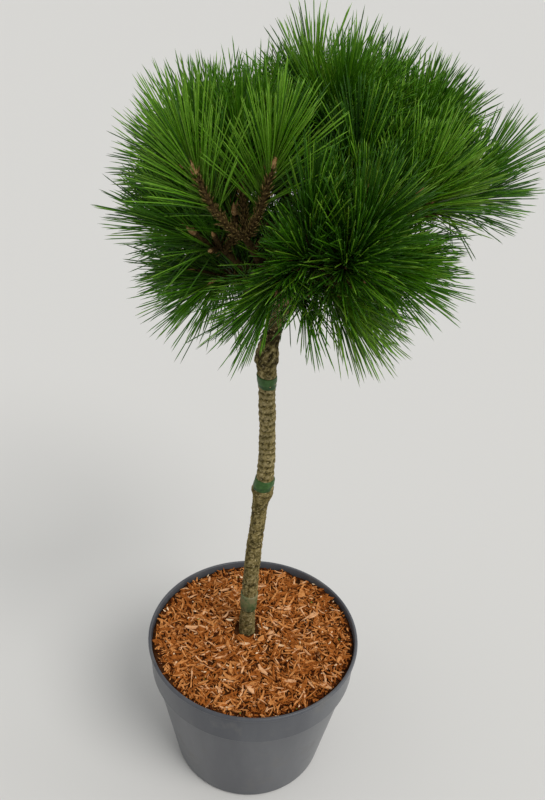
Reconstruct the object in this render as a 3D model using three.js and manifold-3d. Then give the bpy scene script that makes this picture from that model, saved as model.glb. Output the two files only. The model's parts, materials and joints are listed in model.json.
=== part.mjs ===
// A small grafted pine on a clear stem, in a plastic nursery pot topped with wood chips.
// Millimetres, +Z up, +X to the right and +Y away from the front, with the origin in the middle
// of the pot's flat underside.
import * as THREE from 'three';
import { mergeVertices } from 'three/addons/utils/BufferGeometryUtils.js';
import Module from 'manifold-3d';

const wasm = await Module();
wasm.setup();

// Every pair of touching solids keeps this gap
const GAP = 0.3;
// Corners that lie this close are one
const MERGE = 1e-3;
const TAU = 2 * Math.PI;
const DEG = Math.PI / 180;
const GOLDEN_ANGLE = 137.508 * DEG;
// How far a cutting solid goes past what it cuts
const CUT_OVER = 5;

// Pot
const POT_HEIGHT = 188;
const POT_RIM_RADIUS = 130;
const POT_BASE_RADIUS = 96;
const POT_WALL = 2.2;
const POT_BASE_THICKNESS = 3;
const COLLAR_HEIGHT = 43;
const COLLAR_STEP = 4;
const COLLAR_TAPER = 1.5;
const RIM_LIP = 2.5;
const RIM_HEIGHT = 6;
const RIM_ROUND = 0.8;
const BEVEL = 2;
const BASE_CHAMFER = 3;
const POT_SIDES = 40;

// What the pot holds
const MEDIUM_TOP = 171;
const MEDIUM_SHOULDER = 12;
const MEDIUM_CLEARANCE = 2;
const MULCH_TOP = 180.5;
const MULCH_RELIEF = 1.6;
const MULCH_DOME = 2;
const MULCH_SPOKES = 30;
const MULCH_RINGS = 5;
const MULCH_SWAY = 0.03;
const MULCH_SEED = 71;

// Trunk: height, x, y and radius, from its flat cut on the growing medium, over the whorl knot at 402
// and the graft bulge at 560, to the tip of the leader inside the crown
const TRUNK_SIDES = 12;
const TRUNK = [
  [MEDIUM_TOP + GAP, -8.7, 7, 11.6],
  [184, -8.6, 7, 9.9],
  [213, -8.5, 7, 9.3],
  [263, -7.2, 7, 9.2],
  [326, -4.1, 7, 8.9],
  [371, -1.1, 7, 8.4],
  [388, 0.4, 7, 9.5],
  [402, 1.3, 7, 11.2],
  [413, 3.2, 7, 9.8],
  [440, 4.2, 7, 8.6],
  [492, 2.2, 6.5, 8.3],
  [530, 0.3, 6, 8.6],
  [551, -1.4, 6, 9.8],
  [560, -2.2, 6, 12.2],
  [567, -1.5, 6, 12],
  [579, -0.4, 6, 10.3],
  [600, 4, 5.5, 9.6],
  [640, 12, 5, 8.4],
  [690, 23, 4, 6.6],
  [742, 34, 2, 4.6],
];

// Bands of tape round the trunk: lower edge, upper edge
const TAPE_THICKNESS = 1.1;
const TAPES = { tie_low: [221, 245], tie_middle: [403, 416], tie_top: [531, 544] };

// Boughs: every limb leaves the leader a step above the one before, so that no two meet
const BOUGH_SIDES = 6;
const BOUGH_ROOT_RADIUS = 4.4;
const BOUGH_TIP_RADIUS = 3.4;
const BOUGH_STEPS = 3;
const LOWEST_ROOT = 603;
const ROOT_STEP = 6.4;
// The middle point of a bent limb lies farther out, and this far above its root
const BEND_SHIFT = 0.5;
const BEND_RISE = 2;
// The stretch of the trunk that is cut out of a bough's root, either way
const ROOT_REACH = 30;
// The share of the way to the head of its foliage that a bough takes, then its stem up to the fork
const BOUGH_SHARE = 0.4;
const FORK_SHARE = 0.68;

// Shoots and needles, fewer and wider than life
const STEM_SIDES = 3;
const SHOOT_ROOT_RADIUS = 1.2;
const SHOOT_TIP_RADIUS = 2.6;
const BUD_LENGTH = 9;
const SHOOTS = 3;
const SHOOT_SPREAD = 27;
const SHOOT_SWAY = 0.22;
const SHOOT_STAGGER = 12;
const NEEDLES_PER_SHOOT = 13;
const NEEDLES_FROM = 0.1;
const NEEDLES_TO = 0.84;
const NEEDLE_LENGTH = 86;
const LENGTH_SWAY = [0.86, 1.08];
const NEEDLE_WIDTH = 4.4;
const NEEDLE_WIDEST = 0.28;
const NEEDLE_BOW = 0.04;
const NEEDLE_SHORTEST = 32;
const NEEDLE_TRIM = 0.9;
const NEEDLE_SINK = 1;
const NEEDLE_CROWDED = 0.5;
const NEEDLE_APART = 4;
const NEEDLE_ATTEMPTS = 4;
const NEEDLE_TURN = 0.5;
const LEAN_AT_FOOT = 70 * DEG;
const LEAN_AT_TIP = 18 * DEG;
const LEAN_SWAY = [0.9, 1.1];
const NEEDLE_CLEARANCE = 0.5;
// The share of the way up its shoots where the middle of a head of foliage lies
const FOLIAGE_MIDDLE = 0.65;
const TWIG_SEED = 11;
const NEEDLE_SEED = 1000;
// No needle hangs below the crown's foot, which arches up round the bare trunk and rises to the front
// by a share of the way there, more where the needles part before the trunk
const CROWN_FOOT = 564;
const ARCH_RISE = 60;
const ARCH_WIDTH = 50;
const FRONT_RISE = 0.3;
const PARTING_RISE = 0.6;
const PARTING_WIDTH = 32;
// The trunk stands in the crown from this height up
const CROWN_START = 520;

// The crown, from its lowest limb up: azimuth and reach of each head of foliage from the leader's
// foot, its height, how far its limb bends upward (0 is straight), how far its shoots turn up and to
// the right, and the angle at which they spread
const CROWN = {
  low_left: [-162, 54, 664, 0.2, -0.5, -0.2, 210],
  low_right: [-10, 50, 658, 0.1, -0.4, 0, 10],
  low_back: [92, 66, 662, 0, -0.2, 0, 0],
  low_front: [-76, 94, 684, 0.1, -1, 0.2, 80],
  low_back_left: [140, 64, 668, 0, -0.2, 0, 80],
  front_right: [-42, 98, 704, 0.6, -0.1, 0.3, 110],
  low_back_right: [50, 72, 674, 0, -0.2, 0, 110],
  front: [-66, 110, 732, 1, 1, 0.5, 56],
  front_left: [-138, 80, 718, 0.9, 0.4, -0.4, 30],
  right: [-8, 125, 757, 0.8, 0.9, 0.2, 20],
  front_high: [-112, 96, 758, 1, 0.8, 0, 0],
  left: [-176, 64, 746, 0.9, 1.2, 0, 70],
  upper_front_right: [-38, 101, 760, 1, 1.1, 0.1, 40],
  back_left: [142, 84, 736, 0.8, 1, 0, 110],
  back: [96, 82, 740, 0.8, 1.2, 0, 90],
  upper_left: [-152, 62, 770, 1, 1.2, 0, 60],
  back_right: [50, 94, 742, 0.8, 1.1, 0, 20],
  upper_right: [0, 92, 776, 1, 1, 0, 90],
  upper_back_left: [122, 58, 756, 1, 1.2, 0, 110],
  upper_back_right: [58, 76, 776, 1, 1.2, 0, 50],
};
const CROWN_AXIS = new THREE.Vector3(8, 5, 0);
const TOP_HEAD = new THREE.Vector3(55, 0, 802);
const TOP_FORK_SHARE = 0.25;
const TOP_SHOOTS = 4;
const TOP_TURN = 80;
const TOP_LIFT = 1;
const TOP_SEED = 5;

// Colour and roughness
const FINISHES = {
  pot: [0x53565a, 0.55],
  medium: [0x2c2119, 1],
  mulch: [0x9a5a35, 0.95],
  bark: [0x6b6350, 0.9],
  tape: [0x2f6b4b, 0.6],
  needles: [0x2f6b1c, 0.5],
};

// Seeded random numbers between 0 and 1
function randomFrom(seed) {
  let state = seed >>> 0;
  return () => {
    state = (Math.imul(state, 1664525) + 1013904223) >>> 0;
    return state / 4294967296;
  };
}

function between([least, most], random) {
  return least + (most - least) * random();
}

function toSolid(geometry) {
  const bare = new THREE.BufferGeometry().setAttribute('position', geometry.getAttribute('position'));
  if (geometry.index) bare.setIndex(geometry.index);
  const merged = mergeVertices(bare, MERGE);
  return new wasm.Manifold(new wasm.Mesh({
    numProp: 3,
    vertProperties: new Float32Array(merged.getAttribute('position').array),
    triVerts: new Uint32Array(merged.index.array),
  }));
}

function largestBody(solid) {
  return solid.decompose().reduce((a, b) => (a.volume() > b.volume() ? a : b));
}

function toGeometry(solid) {
  const mesh = solid.getMesh();
  const geometry = new THREE.BufferGeometry();
  geometry.setAttribute('position', new THREE.BufferAttribute(mesh.vertProperties, 3));
  geometry.setIndex(new THREE.BufferAttribute(mesh.triVerts, 1));
  return geometry.toNonIndexed();
}

// A closed skin over rings of points, each ring turning the same way round the path; a ring of one
// point is a tip
function loft(rings) {
  const points = rings.flat();
  const starts = [];
  let total = 0;
  for (const ring of rings) {
    starts.push(total);
    total += ring.length;
  }
  const index = [];
  for (let i = 0; i + 1 < rings.length; i++) {
    const sides = Math.max(rings[i].length, rings[i + 1].length);
    for (let k = 0; k < sides; k++) {
      const next = (k + 1) % sides;
      const [a, b] = rings[i].length > 1 ? [starts[i] + k, starts[i] + next] : [starts[i], starts[i]];
      const [c, d] = rings[i + 1].length > 1
        ? [starts[i + 1] + k, starts[i + 1] + next] : [starts[i + 1], starts[i + 1]];
      if (a !== b) index.push(a, b, d);
      if (c !== d) index.push(a, d, c);
    }
  }
  for (let k = 1; k + 1 < rings[0].length; k++) index.push(starts[0], starts[0] + k + 1, starts[0] + k);
  const last = rings.length - 1;
  for (let k = 1; k + 1 < rings[last].length; k++) {
    index.push(starts[last], starts[last] + k, starts[last] + k + 1);
  }
  const geometry = new THREE.BufferGeometry();
  geometry.setAttribute('position', new THREE.Float32BufferAttribute(points.flatMap((p) => p.toArray()), 3));
  geometry.setIndex(index);
  return geometry;
}

// Two directions square to a given one, the first of them level
function sideways(direction) {
  const up = Math.abs(direction.z) > 0.98 ? new THREE.Vector3(0, 1, 0) : new THREE.Vector3(0, 0, 1);
  const across = new THREE.Vector3().crossVectors(up, direction).normalize();
  const over = new THREE.Vector3().crossVectors(direction, across).normalize();
  return [across, over];
}

function ringRound(centre, direction, radius, sides, turn = 0) {
  const [across, over] = sideways(direction);
  return Array.from({ length: sides }, (_, k) => {
    const angle = turn + (TAU * k) / sides;
    return centre.clone()
      .addScaledVector(across, radius * Math.cos(angle))
      .addScaledVector(over, radius * Math.sin(angle));
  });
}

// A point of the trunk's middle line and its radius at a height
function trunkAt(height) {
  let i = 0;
  while (i + 2 < TRUNK.length && TRUNK[i + 1][0] < height) i++;
  const [from, to] = [TRUNK[i], TRUNK[i + 1]];
  const share = THREE.MathUtils.clamp((height - from[0]) / (to[0] - from[0]), 0, 1);
  const [x, y, radius] = [1, 2, 3].map((n) => THREE.MathUtils.lerp(from[n], to[n], share));
  return { centre: new THREE.Vector3(x, y, height), radius };
}

function trunkGeometry(extra, from, to) {
  const heights = TRUNK.map(([z]) => z).filter((z) => z > from && z < to);
  const rings = [from, ...heights, to].map((height) => {
    const { centre, radius } = trunkAt(height);
    return ringRound(centre, new THREE.Vector3(0, 0, 1), radius + extra, TRUNK_SIDES);
  });
  return loft(rings);
}

// Pot: inner and outer outline, from the middle of the underside round the rim and back
const collarEdge = POT_HEIGHT - COLLAR_HEIGHT;
const collarTop = POT_RIM_RADIUS - RIM_LIP;
const collarFoot = collarTop - COLLAR_TAPER;
const bodyTop = collarFoot - COLLAR_STEP;
const innerWall = [
  [POT_BASE_RADIUS - POT_WALL, POT_BASE_THICKNESS],
  [bodyTop - POT_WALL, collarEdge],
  [collarFoot - POT_WALL, collarEdge + COLLAR_STEP],
  [collarTop - POT_WALL, POT_HEIGHT - RIM_HEIGHT],
];

function innerRadius(height) {
  let i = 0;
  while (i + 2 < innerWall.length && innerWall[i + 1][1] < height) i++;
  const share = (height - innerWall[i][1]) / (innerWall[i + 1][1] - innerWall[i][1]);
  return THREE.MathUtils.lerp(innerWall[i][0], innerWall[i + 1][0], share);
}

function lathe(outline) {
  const geometry = new THREE.LatheGeometry(outline.map(([r, z]) => new THREE.Vector2(r, z)), POT_SIDES);
  return geometry.rotateX(Math.PI / 2);
}

function potGeometry() {
  return lathe([
    [0, 0],
    [POT_BASE_RADIUS - BASE_CHAMFER, 0],
    [POT_BASE_RADIUS, BASE_CHAMFER],
    [bodyTop, collarEdge - BEVEL],
    [collarFoot, collarEdge],
    [collarTop, POT_HEIGHT - RIM_HEIGHT],
    [POT_RIM_RADIUS, POT_HEIGHT - RIM_HEIGHT + BEVEL],
    [POT_RIM_RADIUS - RIM_ROUND, POT_HEIGHT],
    [collarTop - POT_WALL + RIM_ROUND, POT_HEIGHT],
    ...[...innerWall].reverse(),
    [0, POT_BASE_THICKNESS],
  ]);
}

function mediumGeometry() {
  const floor = POT_BASE_THICKNESS + GAP;
  const topRadius = innerRadius(MEDIUM_TOP) - MEDIUM_CLEARANCE;
  return lathe([
    [0, floor],
    [innerRadius(floor) - GAP, floor],
    [innerWall[1][0] - GAP, innerWall[1][1]],
    [topRadius, MEDIUM_TOP - MEDIUM_SHOULDER],
    [topRadius, MEDIUM_TOP],
    [0, MEDIUM_TOP],
  ]);
}

// How far the layer reaches at a height: clear of the flats of the pot's inner wall
function layerRadius(height) {
  return innerRadius(height) * Math.cos(Math.PI / POT_SIDES) - GAP;
}

// A layer of chips: flat below, uneven and a little domed above
function mulchSolid() {
  const random = randomFrom(MULCH_SEED);
  const floor = MEDIUM_TOP + GAP;
  const rings = [];
  for (let j = 0; j < MULCH_RINGS; j++) {
    const share = 1 - j / (MULCH_RINGS - 0.5);
    const ring = [];
    for (let k = 0; k < MULCH_SPOKES; k++) {
      const height = MULCH_TOP + MULCH_DOME * (1 - share * share) + MULCH_RELIEF * (2 * random() - 1);
      const radius = share * layerRadius(MULCH_TOP) * (j === 0 ? 1 : 1 + MULCH_SWAY * (random() - 0.5));
      const angle = (TAU * (k + (j % 2) / 2)) / MULCH_SPOKES;
      ring.push(new THREE.Vector3(radius * Math.cos(angle), radius * Math.sin(angle), height));
    }
    rings.push(ring);
  }
  const foot = rings[0].map(({ x, y }) => {
    const inward = layerRadius(floor) / layerRadius(MULCH_TOP);
    return new THREE.Vector3(x * inward, y * inward, floor);
  });
  const layer = toSolid(loft([foot, ...rings]));
  return layer.subtract(toSolid(trunkGeometry(GAP, floor - CUT_OVER, MULCH_TOP + CUT_OVER)));
}

function tieSolid([lower, upper]) {
  const band = toSolid(trunkGeometry(GAP + TAPE_THICKNESS, lower, upper));
  return band.subtract(toSolid(trunkGeometry(GAP, lower - CUT_OVER, upper + CUT_OVER)));
}

// The whole limb of a head of foliage is one curve from the leader to the head; the bough takes its
// first part and the stem of the foliage goes on from there
function limbCurve(rootHeight, head, bend) {
  const root = trunkAt(rootHeight).centre;
  const middle = root.clone().lerp(head, 0.5 + BEND_SHIFT * bend);
  middle.z = THREE.MathUtils.lerp(middle.z, root.z + BEND_RISE, bend);
  return new THREE.QuadraticBezierCurve3(root, middle, head);
}

function boughSolid(curve) {
  const rings = [];
  for (let i = 0; i <= BOUGH_STEPS; i++) {
    const share = i / BOUGH_STEPS;
    const t = share * BOUGH_SHARE;
    const radius = THREE.MathUtils.lerp(BOUGH_ROOT_RADIUS, BOUGH_TIP_RADIUS, share);
    rings.push(ringRound(curve.getPoint(t), curve.getTangent(t), radius, BOUGH_SIDES));
  }
  const root = curve.getPoint(0).z;
  const upper = Math.min(root + ROOT_REACH, TRUNK.at(-1)[0]);
  return toSolid(loft(rings)).subtract(toSolid(trunkGeometry(GAP, root - ROOT_REACH, upper)));
}

// The twigs of a head of foliage: a stem from the limb's end to the fork, and shoots from there to
// points spread about the head
function twigsOf(spec) {
  const { start, fork, head, shoots, turn, seed } = spec;
  const random = randomFrom(seed);
  const axis = head.clone().sub(fork).normalize();
  const [across, over] = sideways(axis);
  const tips = [];
  for (let k = 0; k < shoots; k++) {
    const angle = turn * DEG + (TAU * k) / shoots + SHOOT_SWAY * (random() - 0.5);
    const sway = 1 + SHOOT_SWAY * (2 * random() - 1);
    tips.push(head.clone()
      .addScaledVector(across, SHOOT_SPREAD * sway * Math.cos(angle))
      .addScaledVector(over, SHOOT_SPREAD * sway * Math.sin(angle))
      .addScaledVector(axis, SHOOT_STAGGER * (random() - 0.5)));
  }
  return { stem: [start, fork], shoots: tips.map((tip) => [fork, tip]) };
}

// The shortest distance between two straight pieces p-q and r-s
function distanceBetween(p, q, r, s) {
  const u = q.clone().sub(p);
  const v = s.clone().sub(r);
  const w = p.clone().sub(r);
  const a = u.dot(u);
  const b = u.dot(v);
  const c = v.dot(v);
  const d = u.dot(w);
  const e = v.dot(w);
  const det = a * c - b * b;
  let along = det > 1e-9 ? THREE.MathUtils.clamp((b * e - c * d) / det, 0, 1) : 0;
  let other = (b * along + e) / c;
  if (other < 0 || other > 1) {
    other = THREE.MathUtils.clamp(other, 0, 1);
    along = THREE.MathUtils.clamp((b * other - d) / a, 0, 1);
  }
  return w.addScaledVector(u, along).addScaledVector(v, -other).length();
}

// Lay out the limbs and twigs first, because needles keep clear of all of them
const heads = [];
Object.entries(CROWN).forEach(([name, [azimuth, reach, height, bend, lift, swing, turn]], i) => {
  const head = new THREE.Vector3(reach * Math.cos(azimuth * DEG), reach * Math.sin(azimuth * DEG), height)
    .add(CROWN_AXIS);
  const curve = limbCurve(LOWEST_ROOT + ROOT_STEP * i, head, bend);
  const aim = curve.getTangent(BOUGH_SHARE);
  const start = curve.getPoint(BOUGH_SHARE).addScaledVector(aim, GAP);
  const fork = curve.getPoint(FORK_SHARE);
  const pull = new THREE.Vector3(swing, 0, lift);
  heads.push({ name, curve, start, aim, fork, head, shoots: SHOOTS, turn, pull, seed: TWIG_SEED + i });
});
const leaderTip = trunkAt(TRUNK.at(-1)[0]).centre;
heads.push({
  name: 'top',
  start: leaderTip.clone().setZ(leaderTip.z + GAP),
  aim: new THREE.Vector3(0, 0, 1),
  fork: leaderTip.clone().lerp(TOP_HEAD, TOP_FORK_SHARE),
  head: TOP_HEAD,
  shoots: TOP_SHOOTS,
  turn: TOP_TURN,
  pull: new THREE.Vector3(0, 0, TOP_LIFT),
  seed: TOP_SEED,
});
for (const head of heads) head.twigs = twigsOf(head);

// Straight pieces of every limb with their radii, each marked with the head it belongs to
const limbs = [];
for (const [i, [z]] of TRUNK.entries()) {
  if (i + 1 < TRUNK.length && z > CROWN_START) {
    const next = TRUNK[i + 1];
    const radius = Math.max(TRUNK[i][3], next[3]);
    limbs.push({ from: trunkAt(z).centre, to: trunkAt(next[0]).centre, radius });
  }
}
for (const head of heads) {
  if (head.curve) {
    const points = Array.from({ length: BOUGH_STEPS + 1 },
      (_, i) => head.curve.getPoint((i / BOUGH_STEPS) * BOUGH_SHARE));
    for (let i = 0; i < BOUGH_STEPS; i++) {
      limbs.push({ from: points[i], to: points[i + 1], radius: BOUGH_ROOT_RADIUS });
    }
  }
  for (const [from, to] of [head.twigs.stem, ...head.twigs.shoots]) {
    limbs.push({ from, to, radius: BOUGH_TIP_RADIUS, owner: head });
  }
}

// Each head keeps to the space that lies nearer to its own middle than to any other's
function middleOf(head) {
  const sum = new THREE.Vector3();
  for (const [fork, tip] of head.twigs.shoots) sum.add(fork.clone().lerp(tip, FOLIAGE_MIDDLE));
  return sum.divideScalar(head.twigs.shoots.length);
}
for (const head of heads) head.middle = middleOf(head);

function inOwnSpace(point, head, margin) {
  return heads.every((other) => {
    if (other === head) return true;
    const across = other.middle.clone().sub(head.middle);
    const half = across.length() / 2;
    return point.clone().sub(head.middle).dot(across.normalize()) <= half - margin;
  });
}

// The shortest distance between two paths of straight pieces
function distanceOfPaths(path, other) {
  let least = Infinity;
  for (let i = 0; i + 1 < path.length; i++) {
    for (let k = 0; k + 1 < other.length; k++) {
      least = Math.min(least, distanceBetween(path[i], path[i + 1], other[k], other[k + 1]));
    }
  }
  return least;
}

function clearOfLimbs(path, head) {
  return limbs.every((limb) => {
    if (limb.owner === head) return true;
    return distanceOfPaths(path, [limb.from, limb.to]) > limb.radius + NEEDLE_WIDTH / 2 + NEEDLE_CLEARANCE;
  });
}

// Needles of one head may meet near their roots only, and those of two heads never meet
const needles = [];
function clearOfNeedles(path, head) {
  return needles.every((other) => {
    if (other.path[1].distanceTo(path[1]) > 2 * NEEDLE_LENGTH) return true;
    if (other.head !== head) return distanceOfPaths(path, other.path) > NEEDLE_WIDTH + GAP;
    return distanceOfPaths(path.slice(1), other.path.slice(1)) > NEEDLE_APART;
  });
}

function clearOfOwnTwigs(path, head, tip) {
  return head.twigs.shoots.every(([a, b]) => b === tip || distanceOfPaths(path.slice(1), [a, b]) > NEEDLE_APART);
}

function aboveFoot(point) {
  const { centre } = trunkAt(point.z);
  const across = point.x - centre.x;
  const back = point.y - centre.y;
  const arch = ARCH_RISE * Math.max(0, 1 - Math.hypot(across, back) / ARCH_WIDTH);
  const slope = FRONT_RISE + PARTING_RISE * Math.max(0, 1 - Math.abs(across) / PARTING_WIDTH);
  return point.z > CROWN_FOOT + arch + slope * Math.max(0, -back);
}

// The path of a needle from a share of the way up its shoot: its root, the end of the stretch where
// needles crowd, its widest place, bowed toward the shoot's end, and its tip. It is turned a little and
// shortened until it lies in its head's own space, clear of limbs and of the needles before it
function needlePath(head, [from, tip], share, angle, random) {
  const straight = tip.clone().sub(from).normalize();
  const axis = straight.clone().addScaledVector(head.pull, share).normalize();
  const [across, over] = sideways(axis);
  for (let attempt = 0; attempt < NEEDLE_ATTEMPTS; attempt++) {
    const turn = angle + attempt * NEEDLE_TURN;
    const lean = THREE.MathUtils.lerp(LEAN_AT_FOOT, LEAN_AT_TIP, share) * between(LEAN_SWAY, random);
    const length = NEEDLE_LENGTH * between(LENGTH_SWAY, random);
    const out = across.clone().multiplyScalar(Math.cos(turn)).addScaledVector(over, Math.sin(turn));
    const direction = axis.clone().multiplyScalar(Math.cos(lean)).addScaledVector(out, Math.sin(lean));
    const bow = axis.clone().addScaledVector(direction, -axis.dot(direction)).normalize();
    const root = from.clone().lerp(tip, THREE.MathUtils.lerp(NEEDLES_FROM, NEEDLES_TO, share))
      .addScaledVector(direction, -NEEDLE_SINK);
    for (let reach = length; reach > NEEDLE_SHORTEST; reach *= NEEDLE_TRIM) {
      const end = root.clone().addScaledVector(direction, reach);
      const middle = root.clone().lerp(end, NEEDLE_WIDEST).addScaledVector(bow, NEEDLE_BOW * reach);
      const path = [root, root.clone().lerp(middle, NEEDLE_CROWDED), middle, end];
      const fits = aboveFoot(end) && inOwnSpace(end, head, NEEDLE_WIDTH / 2 + GAP) && clearOfLimbs(path, head)
        && clearOfOwnTwigs(path, head, tip) && clearOfNeedles(path, head);
      if (fits) return path;
    }
  }
  return null;
}

// One needle: a three-sided spindle, widest in its lower third
function needleSolid([root, , middle, tip], turn) {
  const direction = tip.clone().sub(root).normalize();
  return toSolid(loft([[root], ringRound(middle, direction, NEEDLE_WIDTH / Math.sqrt(3), 3, turn), [tip]]));
}

// The stem and its first shoot are one twig, and the other shoots grow from inside it
function twigSolid({ aim, twigs }) {
  const [start, fork] = twigs.stem;
  return twigs.shoots.reduce((solid, [, tip]) => {
    const axis = tip.clone().sub(fork).normalize();
    const neck = tip.clone().addScaledVector(axis, -BUD_LENGTH);
    const end = [ringRound(neck, axis, SHOOT_TIP_RADIUS, STEM_SIDES), [tip]];
    if (solid) return solid.add(toSolid(loft([ringRound(fork, axis, SHOOT_ROOT_RADIUS, STEM_SIDES), ...end])));
    const stem = [start, fork].map((point) => ringRound(point, aim, BOUGH_TIP_RADIUS, STEM_SIDES));
    return toSolid(loft([...stem, ...end]));
  }, null);
}

function foliageSolid(head) {
  const random = randomFrom(NEEDLE_SEED + head.seed);
  let solid = twigSolid(head);
  for (const shoot of head.twigs.shoots) {
    for (let k = 0; k < NEEDLES_PER_SHOOT; k++) {
      const angle = GOLDEN_ANGLE * k;
      const path = needlePath(head, shoot, (k + 0.5) / NEEDLES_PER_SHOOT, angle, random);
      if (path) {
        needles.push({ head, path });
        solid = solid.add(needleSolid(path, angle));
      }
    }
  }
  // Where needles close a pocket between them it is filled, and a loose scrap is dropped, also one that
  // comes off when its smallest edges are merged
  return largestBody(toSolid(toGeometry(largestBody(solid))));
}

const group = new THREE.Group();

function add(name, geometry, [color, roughness]) {
  const material = new THREE.MeshStandardMaterial({ color, roughness, metalness: 0 });
  const mesh = new THREE.Mesh(geometry, material);
  mesh.name = name;
  group.add(mesh);
}

add('pot', potGeometry(), FINISHES.pot);
add('growing_medium', mediumGeometry(), FINISHES.medium);
add('mulch', toGeometry(mulchSolid()), FINISHES.mulch);
add('trunk', trunkGeometry(0, TRUNK[0][0], TRUNK.at(-1)[0]), FINISHES.bark);
for (const [name, edges] of Object.entries(TAPES)) add(name, toGeometry(tieSolid(edges)), FINISHES.tape);
for (const head of heads) {
  if (head.curve) add('bough_' + head.name, toGeometry(boughSolid(head.curve)), FINISHES.bark);
  add('needles_' + head.name, toGeometry(foliageSolid(head)), FINISHES.needles);
}

export default group;
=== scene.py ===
# The looks of a small grafted pine on a clear stem, in a plastic nursery pot topped with wood chips.
# Every length is in millimetres, as in the part's source, until a mesh is made of it: meshes are in
# metres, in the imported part's frame, with +Z up, +X to the right and -Y to the front.
import json
import math

import bpy
import numpy as np
from mathutils import Matrix, Vector

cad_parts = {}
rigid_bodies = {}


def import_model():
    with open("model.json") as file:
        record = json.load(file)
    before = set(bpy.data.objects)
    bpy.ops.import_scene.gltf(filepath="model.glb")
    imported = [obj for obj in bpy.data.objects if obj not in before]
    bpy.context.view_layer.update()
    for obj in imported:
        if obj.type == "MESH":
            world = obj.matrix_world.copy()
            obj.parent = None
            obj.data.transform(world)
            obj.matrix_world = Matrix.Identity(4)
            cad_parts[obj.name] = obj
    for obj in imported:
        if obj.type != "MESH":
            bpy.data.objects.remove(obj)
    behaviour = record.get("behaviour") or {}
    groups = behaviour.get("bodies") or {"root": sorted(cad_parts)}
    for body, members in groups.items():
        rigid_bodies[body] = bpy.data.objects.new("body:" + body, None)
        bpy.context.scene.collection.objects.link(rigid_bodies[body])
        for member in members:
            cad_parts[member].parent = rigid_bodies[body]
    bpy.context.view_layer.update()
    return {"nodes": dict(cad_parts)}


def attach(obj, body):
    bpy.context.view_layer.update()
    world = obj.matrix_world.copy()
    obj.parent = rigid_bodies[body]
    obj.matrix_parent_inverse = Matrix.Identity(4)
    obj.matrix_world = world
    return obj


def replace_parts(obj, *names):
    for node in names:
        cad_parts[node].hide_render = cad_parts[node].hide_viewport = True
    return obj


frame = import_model()

MM = 0.001
TAU = 2 * math.pi
GOLDEN_ANGLE = math.radians(137.508)

# Camera, at the photograph's place, tilt, roll and viewing angle
CAMERA_PLACE = (0.0065, -0.6749, 0.8951)
CAMERA_DOWN = math.radians(29.2)
CAMERA_ROLL = math.radians(-3.38)
CAMERA_LENS = 33.75
CAMERA_SENSOR = 36
# Floor, in metres, and the studio's light
FLOOR_REACH = 400
FLOOR_COLOUR = (0.66, 0.655, 0.64)
STUDIO_COLOUR = (0.97, 0.975, 0.97)
STUDIO_STRENGTH = 0.58
# Wide soft lights: name, direction, width in degrees, strength and colour
SOFT_LIGHTS = (
    ("key", (1.05, -1.0, 1.7), 32, 1.7, (1.0, 0.985, 0.96)),
    ("side", (1.7, 0.3, 0.6), 36, 0.5, (1.0, 1.0, 1.0)),
    ("fill", (-1.5, -0.6, 1.1), 60, 0.06, (0.97, 0.99, 1.0)),
)

# Pot
POT_HEIGHT = 188
POT_RIM_RADIUS = 130
POT_BASE_RADIUS = 96
POT_WALL = 2.2
POT_BASE_THICKNESS = 3
COLLAR_HEIGHT = 43
COLLAR_STEP = 4
COLLAR_TAPER = 1.5
RIM_LIP = 2.5
RIM_HEIGHT = 6
RIM_ROUND = 0.8
BEVEL = 2
BASE_CHAMFER = 3
POT_SIDES = 160
COLLAR_EDGE = POT_HEIGHT - COLLAR_HEIGHT
COLLAR_TOP = POT_RIM_RADIUS - RIM_LIP
COLLAR_FOOT = COLLAR_TOP - COLLAR_TAPER
BODY_TOP = COLLAR_FOOT - COLLAR_STEP

# The layer of chips
MULCH_TOP = 180.5
MULCH_DOME = 2
BED_DEPTH = 4
BED_RELIEF = 1.6
BED_REACH = COLLAR_TOP - POT_WALL - 0.5
BED_STEP = 2.6
BED_SPOKES = 150
CRUMB_RELIEF = 0.7
# How far below the bed's height the fines lie, and the surface that chips are scattered on
FINES_SUNK = 1.2
SCATTER_SUNK = 0.6

# Trunk: height, x, y and radius, as in the part's source
TRUNK = np.array([
    (171.3, -8.7, 7, 11.6),
    (184, -8.6, 7, 9.9),
    (213, -8.5, 7, 9.3),
    (263, -7.2, 7, 9.2),
    (326, -4.1, 7, 8.9),
    (371, -1.1, 7, 8.4),
    (388, 0.4, 7, 9.5),
    (402, 1.3, 7, 11.2),
    (413, 3.2, 7, 9.8),
    (440, 4.2, 7, 8.6),
    (492, 2.2, 6.5, 8.3),
    (530, 0.3, 6, 8.6),
    (551, -1.4, 6, 9.8),
    (560, -2.2, 6, 12.2),
    (567, -1.5, 6, 12),
    (579, -0.4, 6, 10.3),
    (600, 4, 5.5, 9.6),
    (640, 12, 5, 8.4),
    (690, 23, 4, 6.6),
    (742, 34, 2, 4.6),
])
TRUNK_FOOT = TRUNK[0, 0]
TRUNK_TIP = TRUNK[-1, 0]
TRUNK_SIDES = 72
TRUNK_STEP = 1.4
TRUNK_BLEND = 7
# Bark: leaf scars in rows between these heights, cracks below them and a rough graft above
SCARS = (418, 531)
SCAR_HEIGHT = 7.6
SCARS_ROUND = 9
SCAR_RELIEF = 0.75
GRAFT = (547, 600)
GRAFT_RINGS = (588.5, 596)
CRACKS = (233, 262, 291, 322, 340, 367, 384)
# Old branch stubs, grown over: height, direction in degrees, width, rise
KNOTS = ((395, -25, 7, 2.2), (401, 195, 6, 1.6), (352, 250, 5, 0.9), (270, -60, 6, 0.9))

# Bands of tape round the trunk: lower edge, upper edge and how far they slant
TAPE_THICKNESS = 1.1
TAPES = {"tie_low": (221, 245, 0.8), "tie_middle": (403, 416, 0.6), "tie_top": (531, 544, 1.6)}

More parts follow.
